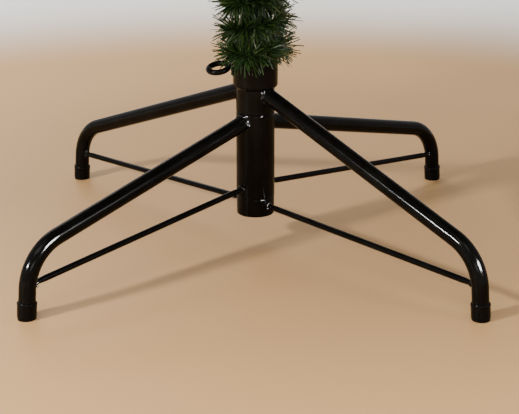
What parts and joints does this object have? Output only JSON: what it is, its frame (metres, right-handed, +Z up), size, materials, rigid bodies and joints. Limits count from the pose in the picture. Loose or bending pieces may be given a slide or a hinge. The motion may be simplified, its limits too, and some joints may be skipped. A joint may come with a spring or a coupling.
{
  "type": "artificial christmas tree",
  "caption": "Whole artificial Christmas tree: needle sprays in a cone on a steel pole, with a needle garland round its foot, in a folding stand of steel tube legs with braces and a lock screw.",
  "frame": {"origin": "on the floor, straight under the middle of the pole", "axes": "+Z up along the pole; -Y towards the camera of the picture; the legs lie on the diagonals of X and Y"},
  "size_m": [1.0497, 1.0481, 1.8],
  "materials": {
    "stand_paint": "gloss black paint on steel tube",
    "foot_plastic": "black moulded plastic, satin",
    "pole_paint": "dark green paint on steel tube",
    "branch_wire": "dark green painted wire",
    "needles": "dark green cut plastic film, twisted into wire"
  },
  "bodies": {
    "root": {"stand_tube": "stand_paint", "stand_sleeve": "stand_paint", "lock_screw": "stand_paint", "leg_front_right": "stand_paint", "brace_front_right": "stand_paint", "foot_cap_front_right": "foot_plastic", "leg_back_right": "stand_paint", "brace_back_right": "stand_paint", "foot_cap_back_right": "foot_plastic", "leg_back_left": "stand_paint", "brace_back_left": "stand_paint", "foot_cap_back_left": "foot_plastic", "leg_front_left": "stand_paint", "brace_front_left": "stand_paint", "foot_cap_front_left": "foot_plastic", "pole": "pole_paint", "pole_garland": "needles", "bough_1_1": "branch_wire", "foliage_1_1": "needles", "bough_1_2": "branch_wire", "foliage_1_2": "needles", "bough_1_3": "branch_wire", "foliage_1_3": "needles", "bough_1_4": "branch_wire", "foliage_1_4": "needles", "bough_1_5": "branch_wire", "foliage_1_5": "needles", "bough_1_6": "branch_wire", "foliage_1_6": "needles", "foliage_2_1": "needles", "foliage_2_2": "needles", "foliage_2_3": "needles", "foliage_2_4": "needles", "foliage_2_5": "needles", "foliage_3_1": "needles", "foliage_3_2": "needles", "foliage_3_3": "needles", "foliage_3_4": "needles", "foliage_3_5": "needles", "foliage_4_1": "needles", "foliage_4_2": "needles", "foliage_4_3": "needles", "foliage_4_4": "needles", "foliage_5_1": "needles", "foliage_5_2": "needles", "foliage_5_3": "needles", "foliage_5_4": "needles", "foliage_6_1": "needles", "foliage_6_2": "needles", "foliage_6_3": "needles", "foliage_6_4": "needles", "foliage_7_1": "needles", "foliage_7_2": "needles", "foliage_7_3": "needles", "foliage_7_4": "needles", "foliage_8_1": "needles", "foliage_8_2": "needles", "foliage_8_3": "needles", "foliage_8_4": "needles", "foliage_leader": "needles"}
  },
  "joints": []
}
